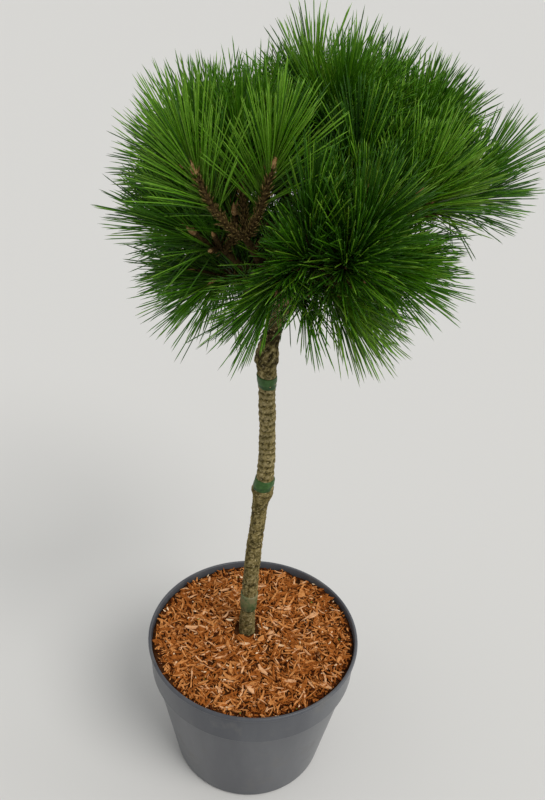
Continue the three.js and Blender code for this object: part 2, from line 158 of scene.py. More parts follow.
# Limbs, by the rule of the part's source
BOUGH_ROOT_RADIUS = 4.4
BOUGH_TIP_RADIUS = 3.4
LOWEST_ROOT = 603
ROOT_STEP = 6.4
BEND_SHIFT = 0.5
BEND_RISE = 2
BOUGH_SHARE = 0.4
FORK_SHARE = 0.68
SHOOT_SPREAD = 27
SHOOT_SWAY = 0.22
SHOOT_STAGGER = 12
FOLIAGE_MIDDLE = 0.65
TWIG_SEED = 11
NEEDLE_SEED = 1000
CROWN_FOOT = 564
ARCH_RISE = 60
ARCH_WIDTH = 50
FRONT_RISE = 0.3
PARTING_RISE = 0.4
PARTING_WIDTH = 28
OUTER_RISE = 1.5
OUTER_WIDTH = 105
# The crown, from its lowest limb up: azimuth and reach of each head of foliage from the leader's
# foot, its height, how far its limb bends upward, how far its shoots turn up and to the right, and
# the angle at which they spread
CROWN = {
    "low_left": (-162, 54, 664, 0.2, -0.5, -0.2, 210),
    "low_right": (-10, 50, 658, 0.1, -0.4, 0, 10),
    "low_back": (92, 66, 662, 0, -0.2, 0, 0),
    "low_front": (-76, 94, 684, 0.1, -1, 0.2, 80),
    "low_back_left": (140, 64, 668, 0, -0.2, 0, 80),
    "front_right": (-42, 98, 704, 0.6, -0.1, 0.3, 110),
    "low_back_right": (50, 72, 674, 0, -0.2, 0, 110),
    "front": (-66, 110, 732, 1, 1, 0.5, 56),
    "front_left": (-138, 80, 718, 0.9, 0.4, -0.4, 30),
    "right": (-8, 125, 757, 0.8, 0.9, 0.2, 20),
    "front_high": (-112, 96, 758, 1, 0.8, 0, 0),
    "left": (-176, 64, 746, 0.9, 1.2, 0, 70),
    "upper_front_right": (-38, 101, 760, 1, 1.1, 0.1, 40),
    "back_left": (142, 84, 736, 0.8, 1, 0, 110),
    "back": (96, 82, 740, 0.8, 1.2, 0, 90),
    "upper_left": (-152, 62, 770, 1, 1.2, 0, 60),
    "back_right": (50, 94, 742, 0.8, 1.1, 0, 20),
    "upper_right": (0, 92, 776, 1, 1, 0, 90),
    "upper_back_left": (122, 58, 756, 1, 1.2, 0, 110),
    "upper_back_right": (58, 76, 776, 1, 1.2, 0, 50),
}
SHOOTS = 3
CROWN_AXIS = np.array((8.0, 5.0, 0.0))
TOP_HEAD = np.array((55.0, 0.0, 802.0))
TOP_FORK_SHARE = 0.25
TOP_SHOOTS = 4
TOP_TURN = 80
TOP_LIFT = 1
TOP_SEED = 5

# Finer twigs and needles
SHOOT_RADIUS = 2.9
SHOOT_TIP_RADIUS = 2.3
# How much thicker than its bough's tip a stem starts
STEM_COLLAR = 0.4
# Scaly bark: sides, step along, height of a scale, scales round and their relief
BOUGH_SCALES = (24, 1.5, 5, 5, 0.32)
STEM_SCALES = (12, 1.6, 4, 4, 0.4)
TWIG_SCALES = (12, 1.5, 4.5, 4, 0.5)
# Papery scales along the bare part of a twig, their rings by share of length, share of radius and tone
BRACTS_PER_MM = 1.6
BRACT_LENGTH = (4, 10)
BRACT_RADIUS = 0.8
BRACT_LEAN = (math.radians(22), math.radians(48))
BRACT_RINGS = ((0, 1, -0.7), (0.55, 0.9, 0), (1, 0, 0.9))
SIDE_SHOOTS = (0.12, 0.5, 0.25)
# The share of needles kept on the low heads and on the top one, which let the light through
OPEN_DENSITY = 0.72
# How much lower in the crown a side shoot counts when its green is dealt, so that inner sprays take darker
# greens as painted shade
SIDE_PAINTED_SHADE = 0.55
SIDE_LENGTH = (24, 38)
SIDE_LEAN = (math.radians(30), math.radians(50))
SIDE_PULL = 0.3
# How thick a side shoot is at its root and its tip, and its bud, beside a main one
SIDE_GIRTH = (0.8, 0.85)
SIDE_BUD = 0.55
BUD_LENGTH = (9, 15)
BUD_RADIUS = 2.7
BUD_PROFILE = (0.75, 0.98, 1.06, 1.0, 0.88, 0.7, 0.48, 0.26, 0.06)
# The head whose bare shoots and large buds show between the tufts
BARE_HEAD = "front_high"
BARE_SHARE = 0.5
BARE_GIRTH = 0.84
BARE_BUD = 1.1
BARE_STRETCH = 20
# Its needles reach no farther than this to the front, so that its buds show
BARE_FORWARD = 34
# The same for heads whose shoots show between their needles
HALF_BARE = {"upper_front_right": 28, "right": 30, "upper_left": 30, "front_left": 34}
# How far needles may reach past the middle between their own head and another, and in front of the bare
# head, up to this far behind its middle
SPACE_PAST = 26
BARE_SPACE_PAST = 20
BARE_DEPTH = 20
PAIRS_PER_SHOOT = 112
PAIRS_PER_SIDE = 58
PAIRS_FROM = 0.42
SIDE_PAIRS_FROM = 0.1
NEEDLE_LENGTH = (61, 90)
SIDE_NEEDLE_LENGTH = (50, 77)
NEEDLE_RADIUS = 0.58
NEEDLE_BOW = 0.02
NEEDLE_SAG = 0.012
LOW_SAG = 0.06
PAIR_SPREAD = (math.radians(1.0), math.radians(4.5))
LEAN_AT_FOOT = math.radians(62)
LEAN_AT_TIP = math.radians(9)
LEAN_SWAY = 0.27
# Shades of green, each with the paler one of its streaks and tips; dealt by height, the deep one paints shade
# low in the crown and the fresh one stands for younger growth and painted light at the top
GREENS = {
    "deep": ((0.016, 0.072, 0.001), (0.044, 0.14, 0.006)),
    "leaf": ((0.038, 0.144, 0.002), (0.1, 0.26, 0.01)),
    "fresh": ((0.08, 0.235, 0.003), (0.24, 0.45, 0.045)),
    "olive": ((0.074, 0.182, 0.003), (0.19, 0.33, 0.035)),
}
# The share of the needles of a spray that may take another shade than the spray's own
STRAY_SHARE = 0.35
SPRAY_SEED = 77
# The height over which shades of green are dealt out, darker low down as painted shade and paler high up as
# painted light, and the share of it at which the bare head's greens are dealt
CROWN_HEIGHT = 280
BARE_SHADE = 0.85
# Rings of a needle: share of its length, share of its radius, and its tone from foot to tip
NEEDLE_RINGS = ((0, 0.7, -0.9), (0.14, 0.95, -0.45), (0.5, 1, 0.08), (0.92, 0.85, 0.6), (1, 0, 0.9))


# Small helpers

def random_from(seed):
    """The part's source deals its random numbers like this."""
    state = seed & 0xFFFFFFFF

    def deal():
        nonlocal state
        state = (state * 1664525 + 1013904223) & 0xFFFFFFFF
        return state / 4294967296

    return deal


def angles_of(count):
    return TAU * np.arange(count) / count


def level_directions(angles):
    return np.stack([np.cos(angles), np.sin(angles), np.zeros(len(angles))], axis=-1)


def unit(vectors):
    return vectors / np.linalg.norm(vectors, axis=-1, keepdims=True)


def smooth_step(low, high, value):
    share = np.clip((value - low) / (high - low), 0, 1)
    return share * share * (3 - 2 * share)


def waves(points, size, seed, count=28):
    """A smooth uneven field between about -1 and 1 over points, with lumps of about the given size."""
    rng = np.random.default_rng(seed)
    directions = unit(rng.normal(size=(count, 3))) * TAU / size * rng.uniform(0.5, 1.4, (count, 1))
    phases = rng.uniform(0, TAU, count)
    total = np.zeros(points.shape[:-1])
    for direction, phase in zip(directions, phases):
        total += np.sin(points @ direction + phase)
    return total * math.sqrt(2 / count) / 1.6


def sideways(direction):
    """Two directions square to a given one, the first of them level."""
    up = np.array((0.0, 1.0, 0.0)) if abs(direction[2]) > 0.98 else np.array((0.0, 0.0, 1.0))
    across = unit(np.cross(up, direction))
    return across, unit(np.cross(direction, across))


def bezier(points, share):
    a, b, c = points
    share = np.asarray(share)[..., None]
    return (1 - share) ** 2 * a + 2 * share * (1 - share) * b + share ** 2 * c


def bezier_aim(points, share):
    a, b, c = points
    return unit((1 - share) * (b - a) + share * (c - b))


# Meshes

def bands(pairs, sides):
    """Faces of the bands between pairs of rows of points, each row closed on itself."""
    k = np.arange(sides)
    after = (k + 1) % sides
    found = []
    for low, high in pairs:
        low, high = low * sides, high * sides
        found.append(np.stack([low + k, low + after, high + after, high + k], axis=1))
    return np.concatenate(found).tolist()


def skin(rows):
    """Points and faces of a closed tube over rows of points, each row turning the same way."""
    count, sides, _ = rows.shape
    faces = bands(zip(range(count - 1), range(1, count)), sides)
    faces.append(list(range(sides))[::-1])
    faces.append(list(range((count - 1) * sides, count * sides)))
    return rows.reshape(-1, 3), faces


def outward_of(paths, angles):
    """Directions at angles round each point of paths, square to them."""
    along = unit(np.gradient(paths, axis=1))
    whole = unit(paths[:, -1] - paths[:, 0])
    helper = np.where(np.abs(whole[:, 2:3]) > 0.9, (1.0, 0.0, 0.0), (0.0, 0.0, 1.0))
    across = unit(np.cross(helper[:, None], along))[:, :, None]
    over = np.cross(along[:, :, None], across)
    return np.cos(angles) * across + np.sin(angles) * over


def tube_rows(path, radii, sides):
    """Rows of points round a path, square to it, with a radius for each point."""
    angles = angles_of(sides)
    return path[:, None] + radii[:, :, None] * outward_of(path[None], angles[:, None])[0]


def rods(paths, radii, sides, turns):
    """Points and faces of many thin rods at once, each closed at its root and pointed at its tip."""
    count, rings, _ = paths.shape
    angles = turns[:, None, None, None] + angles_of(sides)[None, None, :, None]
    shell = paths[:, :-1, None] + radii[:, :-1, None, None] * outward_of(paths, angles)[:, :-1]
    points = np.concatenate([shell.reshape(count, -1, 3), paths[:, -1:]], axis=1)
    last = (rings - 2) * sides
    tip = (rings - 1) * sides
    ends = [(last + k, last + (k + 1) % sides, tip) for k in range(sides)]
    ends.append(tuple(range(sides))[::-1])
    starts = np.arange(count)[:, None, None] * points.shape[1]
    pattern = np.array(bands(zip(range(rings - 2), range(1, rings - 1)), sides))
    faces = (starts + pattern).reshape(-1, 4).tolist()
    for end in ends:
        faces += (starts[:, 0] + np.array(end)).tolist()
    return points.reshape(-1, 3), faces


class Heap:
    """Shapes gathered into one mesh, with one number for each point that its material can read."""

    def __init__(self):
        self.points, self.faces, self.values, self.size = [], [], [], 0

    def add(self, points, faces, values):
        self.faces += [[corner + self.size for corner in face] for face in faces]
        self.points.append(points)
        self.values.append(values)
        self.size += len(points)

    def piece(self, name, material, slot):
        points, values = np.concatenate(self.points), np.concatenate(self.values)
        return make_piece(name, points, self.faces, material, slot, values)


def plain_mesh(name, points, faces):
    mesh = bpy.data.meshes.new(name)
    mesh.from_pydata((points * MM).tolist(), [], faces)
    return mesh


def put_in_scene(name, data):
    thing = bpy.data.objects.new(name, data)
    bpy.context.scene.collection.objects.link(thing)
    return thing


def as_piece(name, mesh):
    """A finished mesh as a piece on the part's one body."""
    piece = put_in_scene(name, mesh)
    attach(piece, "root")
    return piece


def make_piece(name, points, faces, material, slot, values=None):
    """A finished piece from points in millimetres, with the number at each that its material reads."""
    mesh = plain_mesh(name, points, faces)
    mesh.polygons.foreach_set("use_smooth", [True] * len(mesh.polygons))
    if values is not None:
        relief = mesh.attributes.new("relief", "FLOAT", "POINT")
        relief.data.foreach_set("value", values.astype(np.float32))
    mesh.materials.append(material)
    mesh.update()
    return as_piece(name, mesh)


# Node groups and materials

def join(tree, value, socket):
    """Joins an output to a socket, or sets the socket to a number, a vector or a colour."""
    if isinstance(value, bpy.types.NodeSocket):
        tree.links.new(value, socket)
    else:
        socket.default_value = (*value, 1) if socket.type == "RGBA" else value


def new_node(tree, kind, values=None, **settings):
    """A node with its settings, and with values for some of its inputs by name or place."""
    node = tree.nodes.new(kind)
    for label, setting in settings.items():
        setattr(node, label, setting)
    for label, value in (values or {}).items():
        join(tree, value, node.inputs[label])
    return node


def new_group(kind, name, inputs, outputs):
    """A node group with named sockets of the given kinds, and the sockets of its two ends."""
    group = bpy.data.node_groups.new(name, kind)
    for way, wanted in (("INPUT", inputs), ("OUTPUT", outputs)):
        for label, type_name in wanted.items():
            group.interface.new_socket(name=label, in_out=way, socket_type="NodeSocket" + type_name)
    return group, group.nodes.new("NodeGroupInput").outputs, group.nodes.new("NodeGroupOutput").inputs


def math_node(tree, operation, first, second):
    return new_node(tree, "ShaderNodeMath", {0: first, 1: second}, operation=operation).outputs[0]


def mix_colours(tree, factor, first, second):
    return new_node(tree, "ShaderNodeMix", {0: factor, 6: first, 7: second}, data_type="RGBA").outputs[2]


def stretched_noise(group, given, detail, roughness=0.5):
    """Noise on the object's own coordinates, as the group's Scale and Stretch say."""
    places = group.nodes.new("ShaderNodeTexCoord").outputs["Object"]
    mapping = new_node(group, "ShaderNodeMapping", {"Vector": places, "Scale": given["Stretch"]})
    values = {"Vector": mapping.outputs[0], "Scale": given["Scale"], "Detail": detail, "Roughness": roughness}
    return new_node(group, "ShaderNodeTexNoise", values).outputs["Fac"]


def mottle_group():
    """Patches of a second colour over a first, by stretched noise."""
    group, given, put = new_group("ShaderNodeTree", "Mottle", {
        "Colour": "Color", "Patches": "Color", "Scale": "Float", "Stretch": "Vector",
        "From": "Float", "To": "Float",
    }, {"Colour": "Color", "Mask": "Float"})
    noise = stretched_noise(group, given, 5, 0.62)
    mask = new_node(group, "ShaderNodeMapRange", {
        "Value": noise, "From Min": given["From"], "From Max": given["To"],
    }).outputs["Result"]
    join(group, mix_colours(group, mask, given["Colour"], given["Patches"]), put["Colour"])
    join(group, mask, put["Mask"])
    return group


def relief_group():
    """Darkens a colour in the hollows of a carved surface and lightens it on the ridges."""
    group, given, put = new_group("ShaderNodeTree", "Relief tone", {
        "Colour": "Color", "Hollows": "Color", "Ridges": "Color", "Depth": "Float", "Lift": "Float",
    }, {"Colour": "Color"})
    carved = new_node(group, "ShaderNodeAttribute", attribute_name="relief")
    colour = given["Colour"]
    for side, tone, amount in ((-1, "Hollows", "Depth"), (1, "Ridges", "Lift")):
        share = math_node(group, "MULTIPLY", carved.outputs["Fac"], side)
        share = math_node(group, "MINIMUM", math_node(group, "MAXIMUM", share, 0), 1)
        share = math_node(group, "MULTIPLY", share, given[amount])
        colour = mix_colours(group, share, colour, given[tone])
    join(group, colour, put["Colour"])
    return group


def grain_group():
    """Fine stretched grain, as a height for a bump."""
    group, given, put = new_group("ShaderNodeTree", "Fine grain", {"Scale": "Float", "Stretch": "Vector"},
                                  {"Height": "Float"})
    join(group, stretched_noise(group, given, 3), put["Height"])
    return group


MOTTLE = mottle_group()
RELIEF = relief_group()
GRAIN = grain_group()


def mottled(patches, scale, low, high, stretch=(1, 1, 1)):
    """A layer with patches of a colour where noise passes from a low to a high value."""
    return MOTTLE, {"Patches": patches, "Scale": scale, "From": low, "To": high, "Stretch": stretch}


def toned(hollows, ridges, depth, lift):
    """A layer that tones the hollows and ridges of a carved surface."""
    return RELIEF, {"Hollows": hollows, "Ridges": ridges, "Depth": depth, "Lift": lift}


def layered(name, roughness, specular, colour, layers, grain=None):
    """A material: a colour under layers, with a grain's scale, stretch, strength and depth. Its roughness
    is one number, or two between which the mask of the last layer leads."""
    material = bpy.data.materials.new(name)
    material.use_nodes = True
    tree = material.node_tree
    shader = tree.nodes["Principled BSDF"].inputs
    for group, values in layers:
        layer = new_node(tree, "ShaderNodeGroup", {"Colour": colour, **values}, node_tree=group)
        colour = layer.outputs["Colour"]
    if isinstance(roughness, tuple):
        spread = {"Value": layer.outputs["Mask"], "To Min": roughness[0], "To Max": roughness[1]}
        roughness = new_node(tree, "ShaderNodeMapRange", spread).outputs["Result"]
    join(tree, colour, shader["Base Color"])
    join(tree, roughness, shader["Roughness"])
    join(tree, specular, shader["Specular IOR Level"])
    if grain:
        scale, stretch, strength, depth = grain
        heights = new_node(tree, "ShaderNodeGroup", {"Scale": scale, "Stretch": stretch}, node_tree=GRAIN)
        bump = {"Height": heights.outputs["Height"], "Strength": strength, "Distance": depth * MM}
        join(tree, new_node(tree, "ShaderNodeBump", bump).outputs["Normal"], shader["Normal"])
    return material


def pot_plastic():
    """Matt grey plastic with faint lighter vertical streaks that paint in highlight, fine scuffs and dusty
    patches.
    """
    return layered("pot plastic", (0.3, 0.5), 0.28, (0.066, 0.07, 0.082), [
        # Lighter vertical streaks: painted highlight bands on the walls
        mottled((0.098, 0.103, 0.114), 13, 0.4, 0.62, (1, 1, 0.2)),
        mottled((0.17, 0.17, 0.17), 120, 0.68, 0.8, (1, 1, 0.12)),
        mottled((0.16, 0.155, 0.145), 24, 0.56, 0.85),
    ], (900, (1, 1, 1), 0.25, 0.12))


def peat():
    crumbs = mottled((0.075, 0.045, 0.025), 260, 0.45, 0.6)
    return layered("moist peat", 0.95, 0.2, (0.03, 0.018, 0.011), [crumbs], (420, (1, 1, 1), 0.8, 1.5))


def chip_wood(name, colour, dark):
    """One shade of shredded wood, with grain of its own and stained patches."""
    return layered(name, 0.8, 0.06, colour, [mottled(dark, 190, 0.42, 0.72)], (1300, (1, 0.4, 1), 0.5, 0.5))


def bark(name, base, patches, hollows, ridges, scale=160):
    """Carved bark: mottled, specked, dark in its cracks and pale on its ridges."""
    return layered(name, 0.86, 0.12, base, [
        mottled(patches, scale, 0.42, 0.62, (1, 1, 0.6)),
        toned(hollows, ridges, 0.9, 0.45),
        mottled(ridges, scale * 2.2, 0.56, 0.74),
        mottled(hollows, scale * 2.8, 0.52, 0.68, (1, 1, 1.5)),
    ], (850, (1, 1, 0.7), 0.7, 0.7))


def tape(name, colour, faded, fade_from, fade_to, roughness):
    """Soft tying tape, faded in patches."""
    return layered(name, roughness, 0.3, colour, [
        mottled(faded, 150, fade_from, fade_to),
        toned((0.01, 0.03, 0.012), faded, 0.6, 0.3),
    ], (500, (1, 1, 3), 0.3, 0.3))


def needle_green(name, colour, pale):
    """Waxy needles of one shade, paler toward the tip."""
    return layered(name, 0.36, 0.23, colour, [
        mottled(pale, 320, 0.5, 0.8),
        toned((0.042, 0.038, 0.01), pale, 0.85, 0.6),
    ])


# Camera, floor and light

def add_camera():
    data = bpy.data.cameras.new("camera")
    data.lens = CAMERA_LENS
    data.sensor_width = CAMERA_SENSOR
    data.clip_start = 0.01
    camera = put_in_scene("camera", data)
    turn = Matrix.Rotation(math.pi / 2 - CAMERA_DOWN, 4, "X") @ Matrix.Rotation(-CAMERA_ROLL, 4, "Z")
    camera.matrix_world = Matrix.Translation(CAMERA_PLACE) @ turn
    bpy.context.scene.camera = camera


def add_floor():
    corners = [(x * FLOOR_REACH, y * FLOOR_REACH, 0) for x, y in ((-1, -1), (1, -1), (1, 1), (-1, 1))]
    mesh = bpy.data.meshes.new("floor")
    mesh.from_pydata(corners, [], [(0, 1, 2, 3)])
    mesh.materials.append(layered("floor", 0.9, 0.2, FLOOR_COLOUR, []))
    put_in_scene("floor", mesh)


def add_lights():
    for name, toward, width, strength, colour in SOFT_LIGHTS:
        data = bpy.data.lights.new(name, "SUN")
        data.angle = math.radians(width)
        data.energy = strength
        data.color = colour
        light = put_in_scene(name, data)
        light.rotation_euler = Vector(toward).to_track_quat("Z", "Y").to_euler()
    world = bpy.data.worlds.new("studio")
    world.use_nodes = True
    background = world.node_tree.nodes["Background"].inputs
    join(world.node_tree, STUDIO_COLOUR, background["Color"])
    join(world.node_tree, STUDIO_STRENGTH, background["Strength"])
    bpy.context.scene.world = world
    bpy.context.scene.view_settings.view_transform = "Standard"


# Pot

def rounded(outline, radius, steps=4):
    """The outline with each inner corner turned into a short arc."""
    corners = [np.array(p, float) for p in outline]
    result = [corners[0]]
    for before, corner, after in zip(corners, corners[1:], corners[2:]):
        reach = min(radius, 0.42 * np.linalg.norm(corner - before), 0.42 * np.linalg.norm(after - corner))
        start = corner + unit(before - corner) * reach
        end = corner + unit(after - corner) * reach
        result += list(bezier((start, corner, end), np.linspace(0, 1, steps)))
    result.append(corners[-1])
    return np.array(result)


def add_pot():
    outline = rounded([
        (0.01, 0),
        (POT_BASE_RADIUS - BASE_CHAMFER, 0),
        (POT_BASE_RADIUS, BASE_CHAMFER),
        (BODY_TOP, COLLAR_EDGE - BEVEL),
        (COLLAR_FOOT, COLLAR_EDGE),
        (COLLAR_TOP, POT_HEIGHT - RIM_HEIGHT),
        (POT_RIM_RADIUS, POT_HEIGHT - RIM_HEIGHT + BEVEL),
        (POT_RIM_RADIUS - RIM_ROUND, POT_HEIGHT),
        (COLLAR_TOP - POT_WALL + RIM_ROUND, POT_HEIGHT),
        (COLLAR_TOP - POT_WALL, POT_HEIGHT - RIM_HEIGHT),
        (COLLAR_FOOT - POT_WALL, COLLAR_EDGE + COLLAR_STEP),
        (BODY_TOP - POT_WALL, COLLAR_EDGE),
        (POT_BASE_RADIUS - POT_WALL, POT_BASE_THICKNESS),
        (0.01, POT_BASE_THICKNESS),
    ], 1.5)
    angles = angles_of(POT_SIDES)
    rows = outline[:, :1, None] * level_directions(angles)
    rows[..., 2] = outline[:, 1:]
    pot = make_piece("pot_shell", *skin(rows), pot_plastic(), "pot_plastic")
    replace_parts(pot, "pot")


# Chips on the growing medium

def bed_height(points):
    """Height of the layer's uneven top at points of the plane."""
    reach = np.linalg.norm(points[..., :2], axis=-1) / BED_REACH
    dome = MULCH_TOP + MULCH_DOME * (1 - reach ** 2)
    return dome + BED_RELIEF * waves(points, 30, 3) + CRUMB_RELIEF * waves(points, 11, 4)


def add_bed():
    """The dark fines under the chips, which carry them."""
    rings = int(BED_REACH / BED_STEP)
    angles = angles_of(BED_SPOKES)
    reach = BED_REACH * np.linspace(1, 0.002, rings)[:, None]
    plane = reach[..., None] * level_directions(angles)
    top = plane.copy()
    top[..., 2] = bed_height(plane) - FINES_SUNK
    foot = plane[:1].copy()
    foot[..., 2] = MULCH_TOP - BED_DEPTH
    fines = chip_wood("wood fines", (0.075, 0.024, 0.006), (0.025, 0.009, 0.004))
    bed = make_piece("mulch_bed", *skin(np.concatenate([foot, top])), fines, "mulch")
    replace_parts(bed, "mulch")


def chip_shape(rng, length, width, thickness):
    """One shred of wood: a bent, tapered splinter with torn ends, lying along X."""
    stations = np.linspace(-0.5, 0.5, 4)
    bend = rng.uniform(-0.12, 0.12) * length
    curl = rng.uniform(-0.06, 0.1) * length
    rows = []
    for s in stations:
        taper = 1 - 0.55 * abs(2 * s) ** rng.uniform(1.5, 3.5)
        half_width = 0.5 * width * taper * rng.uniform(0.8, 1.15)
        half_height = 0.5 * thickness * (0.55 + 0.45 * taper)
        x = s * length
        y = bend * (4 * s * s - 0.5)
        z = curl * (4 * s * s - 0.5)
        slant = 0.16 * length * rng.uniform(-1, 1) * abs(2 * s) ** 3
        low, high = z - half_height, z + half_height
        rows.append([(x, y - half_width, low), (x + slant, y + half_width, low),
                     (x + slant, y + half_width * 0.8, high), (x, y - half_width * 0.8, high)])
    return np.array(rows)


def scatter_tree():
    """Scatters shapes of a collection over a surface, turned, tilted and scaled at random."""
    tree, given, put = new_group("GeometryNodeTree", "Scatter chips", {
        "Geometry": "Geometry", "Shapes": "Collection", "Density": "Float", "Seed": "Int",
        "Smallest": "Float", "Largest": "Float", "Tilt": "Float", "Lift": "Float", "Finish": "Material",
    }, {"Geometry": "Geometry"})

    def vector(x, y, z):
        return new_node(tree, "ShaderNodeCombineXYZ", {0: x, 1: y, 2: z}).outputs[0]

    def deal(number, limits, **settings):
        seed = math_node(tree, "ADD", given["Seed"], number)
        return new_node(tree, "FunctionNodeRandomValue", {**limits, "Seed": seed}, **settings).outputs

    most = given["Tilt"]
    least = math_node(tree, "MULTIPLY", most, -1)
    heights = deal(1, {1: vector(0, 0, given["Lift"])}, data_type="FLOAT_VECTOR")
    turns = deal(2, {0: vector(least, least, 0), 1: vector(most, most, TAU)}, data_type="FLOAT_VECTOR")
    sizes = deal(3, {2: given["Smallest"], 3: given["Largest"]})
    shapes = new_node(tree, "GeometryNodeCollectionInfo", {
        "Collection": given["Shapes"], "Separate Children": True, "Reset Children": True,
    })
    flow = given["Geometry"]
    for kind, values in (
        ("DistributePointsOnFaces", {"Density": given["Density"], "Seed": given["Seed"]}),
        ("SetPosition", {"Offset": heights[0]}),
        ("InstanceOnPoints", {"Instance": shapes.outputs[0], "Pick Instance": True, "Rotation": turns[0],
                              "Scale": sizes[1]}),
        ("RealizeInstances", {}),
        ("SetMaterial", {"Material": given["Finish"]}),
    ):
        flow = new_node(tree, "GeometryNode" + kind, {0: flow, **values}).outputs[0]
    join(tree, flow, put[0])
    return tree


def shape_collection(name, seed, count, lengths, widths, thicknesses):
    """A collection of shapes of shreds, which the scatter picks from."""
    rng = np.random.default_rng(seed)
    collection = bpy.data.collections.new(name)
    for i in range(count):
        rows = chip_shape(rng, rng.uniform(*lengths), rng.uniform(*widths), rng.uniform(*thicknesses))
        mesh = plain_mesh(f"{name} {i}", *skin(rows))
        collection.objects.link(bpy.data.objects.new(f"{name} {i}", mesh))
    return collection


def scatter(name, surface, tree, values):
    """A piece made by scattering shapes over a surface, turned into a plain mesh."""
    carrier = put_in_scene(name + " carrier", surface)
    modifier = carrier.modifiers.new("scatter", "NODES")
    modifier.node_group = tree
    for socket in tree.interface.items_tree:
        if socket.name in values:
            modifier[socket.identifier] = values[socket.name]
    bpy.context.view_layer.update()
    mesh = bpy.data.meshes.new_from_object(carrier.evaluated_get(bpy.context.evaluated_depsgraph_get()))
    bpy.data.objects.remove(carrier)
    as_piece(name, mesh)


def scatter_surface(name, reach, foot=16, rings=40, spokes=120):
    """The part of the bed that chips lie on: a ring from the trunk's foot out to a reach."""
    distances = np.linspace(foot, reach, rings)[:, None, None]
    inward = (reach - distances) / (reach - foot)
    plane = distances * level_directions(angles_of(spokes)) + inward * np.array((*TRUNK[1, 1:3], 0))
    plane[..., 2] = bed_height(plane) - SCATTER_SUNK
    faces = np.roll(bands(zip(range(1, rings), range(rings - 1)), spokes), 1, axis=1)
    return plain_mesh(name, plane.reshape(-1, 3), faces.tolist())


def add_chips():
    tree = scatter_tree()
    inner = scatter_surface("bed for shreds", BED_REACH - 8)
    outer = scatter_surface("bed for crumbs", BED_REACH - 3)
    shreds = shape_collection("shred", 21, 9, (8, 17), (1.1, 3.2), (0.7, 1.3))
    crumbs = shape_collection("crumb", 22, 7, (3.5, 7), (1.2, 2.8), (0.7, 1.4))
    flakes = shape_collection("flake", 23, 8, (12, 22), (4, 8.5), (0.9, 1.6))
    shades = {
        "rust": ((0.38, 0.12, 0.022), (0.15, 0.035, 0.004)),
        "orange": ((0.62, 0.27, 0.085), (0.37, 0.12, 0.024)),
        "umber": ((0.1, 0.022, 0.003), (0.035, 0.008, 0.002)),
        "tan": ((0.76, 0.43, 0.22), (0.5, 0.21, 0.075)),
        "straw": ((0.9, 0.67, 0.43), (0.72, 0.42, 0.2)),
        "moss": ((0.16, 0.2, 0.03), (0.07, 0.1, 0.015)),
    }
    finishes = {shade: chip_wood("chip " + shade, *colours) for shade, colours in shades.items()}
    layers = [
        ("chips_umber", outer, crumbs, "umber", 34000, 31, 0.7, 1.4, 0.45, 2.0),
        ("chips_rust", inner, shreds, "rust", 26000, 32, 0.6, 1.25, 0.3, 3.4),
        ("chips_orange", inner, shreds, "orange", 15000, 33, 0.55, 1.2, 0.32, 3.8),
        ("crumbs_rust", outer, crumbs, "rust", 42000, 34, 0.6, 1.3, 0.5, 3.0),
        ("crumbs_orange", outer, crumbs, "orange", 20000, 35, 0.5, 1.2, 0.5, 3.8),
        ("chips_tan", inner, shreds, "tan", 5600, 36, 0.5, 1.1, 0.3, 4.4),
        ("crumbs_straw", outer, crumbs, "straw", 2400, 37, 0.5, 1.0, 0.4, 4.2),
        ("flakes_tan", inner, flakes, "tan", 1000, 38, 0.4, 1.1, 0.16, 4.4),
        ("flakes_orange", inner, flakes, "orange", 1300, 41, 0.5, 1.1, 0.2, 4.0),
        ("flakes_rust", inner, flakes, "rust", 1300, 39, 0.6, 1.2, 0.22, 3.6),
        ("flakes_straw", inner, flakes, "straw", 170, 40, 0.5, 0.9, 0.14, 4.4),
        ("crumbs_moss", outer, crumbs, "moss", 260, 42, 0.5, 1.0, 0.4, 4.2),
    ]
    for name, surface, shapes, shade, density, seed, smallest, largest, tilt, lift in layers:
        scatter(name, surface, tree, {
            "Shapes": shapes, "Density": float(density), "Seed": seed, "Smallest": smallest,
            "Largest": largest, "Tilt": tilt, "Lift": lift * MM, "Finish": finishes[shade],
        })
    for collection in (shreds, crumbs, flakes):
        for shape in list(collection.objects):
            bpy.data.objects.remove(shape)
        bpy.data.collections.remove(collection)


# Trunk, boughs and tape

def trunk_at(heights):
    """Middle line and radius of the trunk at heights, with the corners between its stations eased."""
    fine = np.arange(TRUNK_FOOT - TRUNK_BLEND, TRUNK_TIP + TRUNK_BLEND, 0.5)
    window = np.hanning(2 * TRUNK_BLEND + 1)
    window /= window.sum()
    eased = []
    for column in (1, 2, 3):
        line = np.interp(fine, TRUNK[:, 0], TRUNK[:, column])
        padded = np.pad(line, TRUNK_BLEND, mode="edge")
        eased.append(np.interp(heights, fine, np.convolve(padded, window, mode="valid")))
    return np.stack([eased[0], eased[1], heights], axis=-1), eased[2]


def scales(around, along):
    """Rows of overlapping scales: 1 at a scale's middle, -1 in the crease above it."""
    row = np.floor(along)
    inside = along - row
    column = around + 0.5 * (row % 2)
    aside = np.abs(column - np.floor(column) - 0.5) * 2
    crease = inside - 0.18 * (1 - aside ** 2)
    hump = np.sin(np.pi * np.clip(crease / 0.9, 0, 1)) * (1 - 0.6 * aside ** 3)
    edge = np.exp(-((crease - 0.02) / 0.1) ** 2) * (1 - 0.8 * aside ** 2)
    return hump - 1.3 * edge


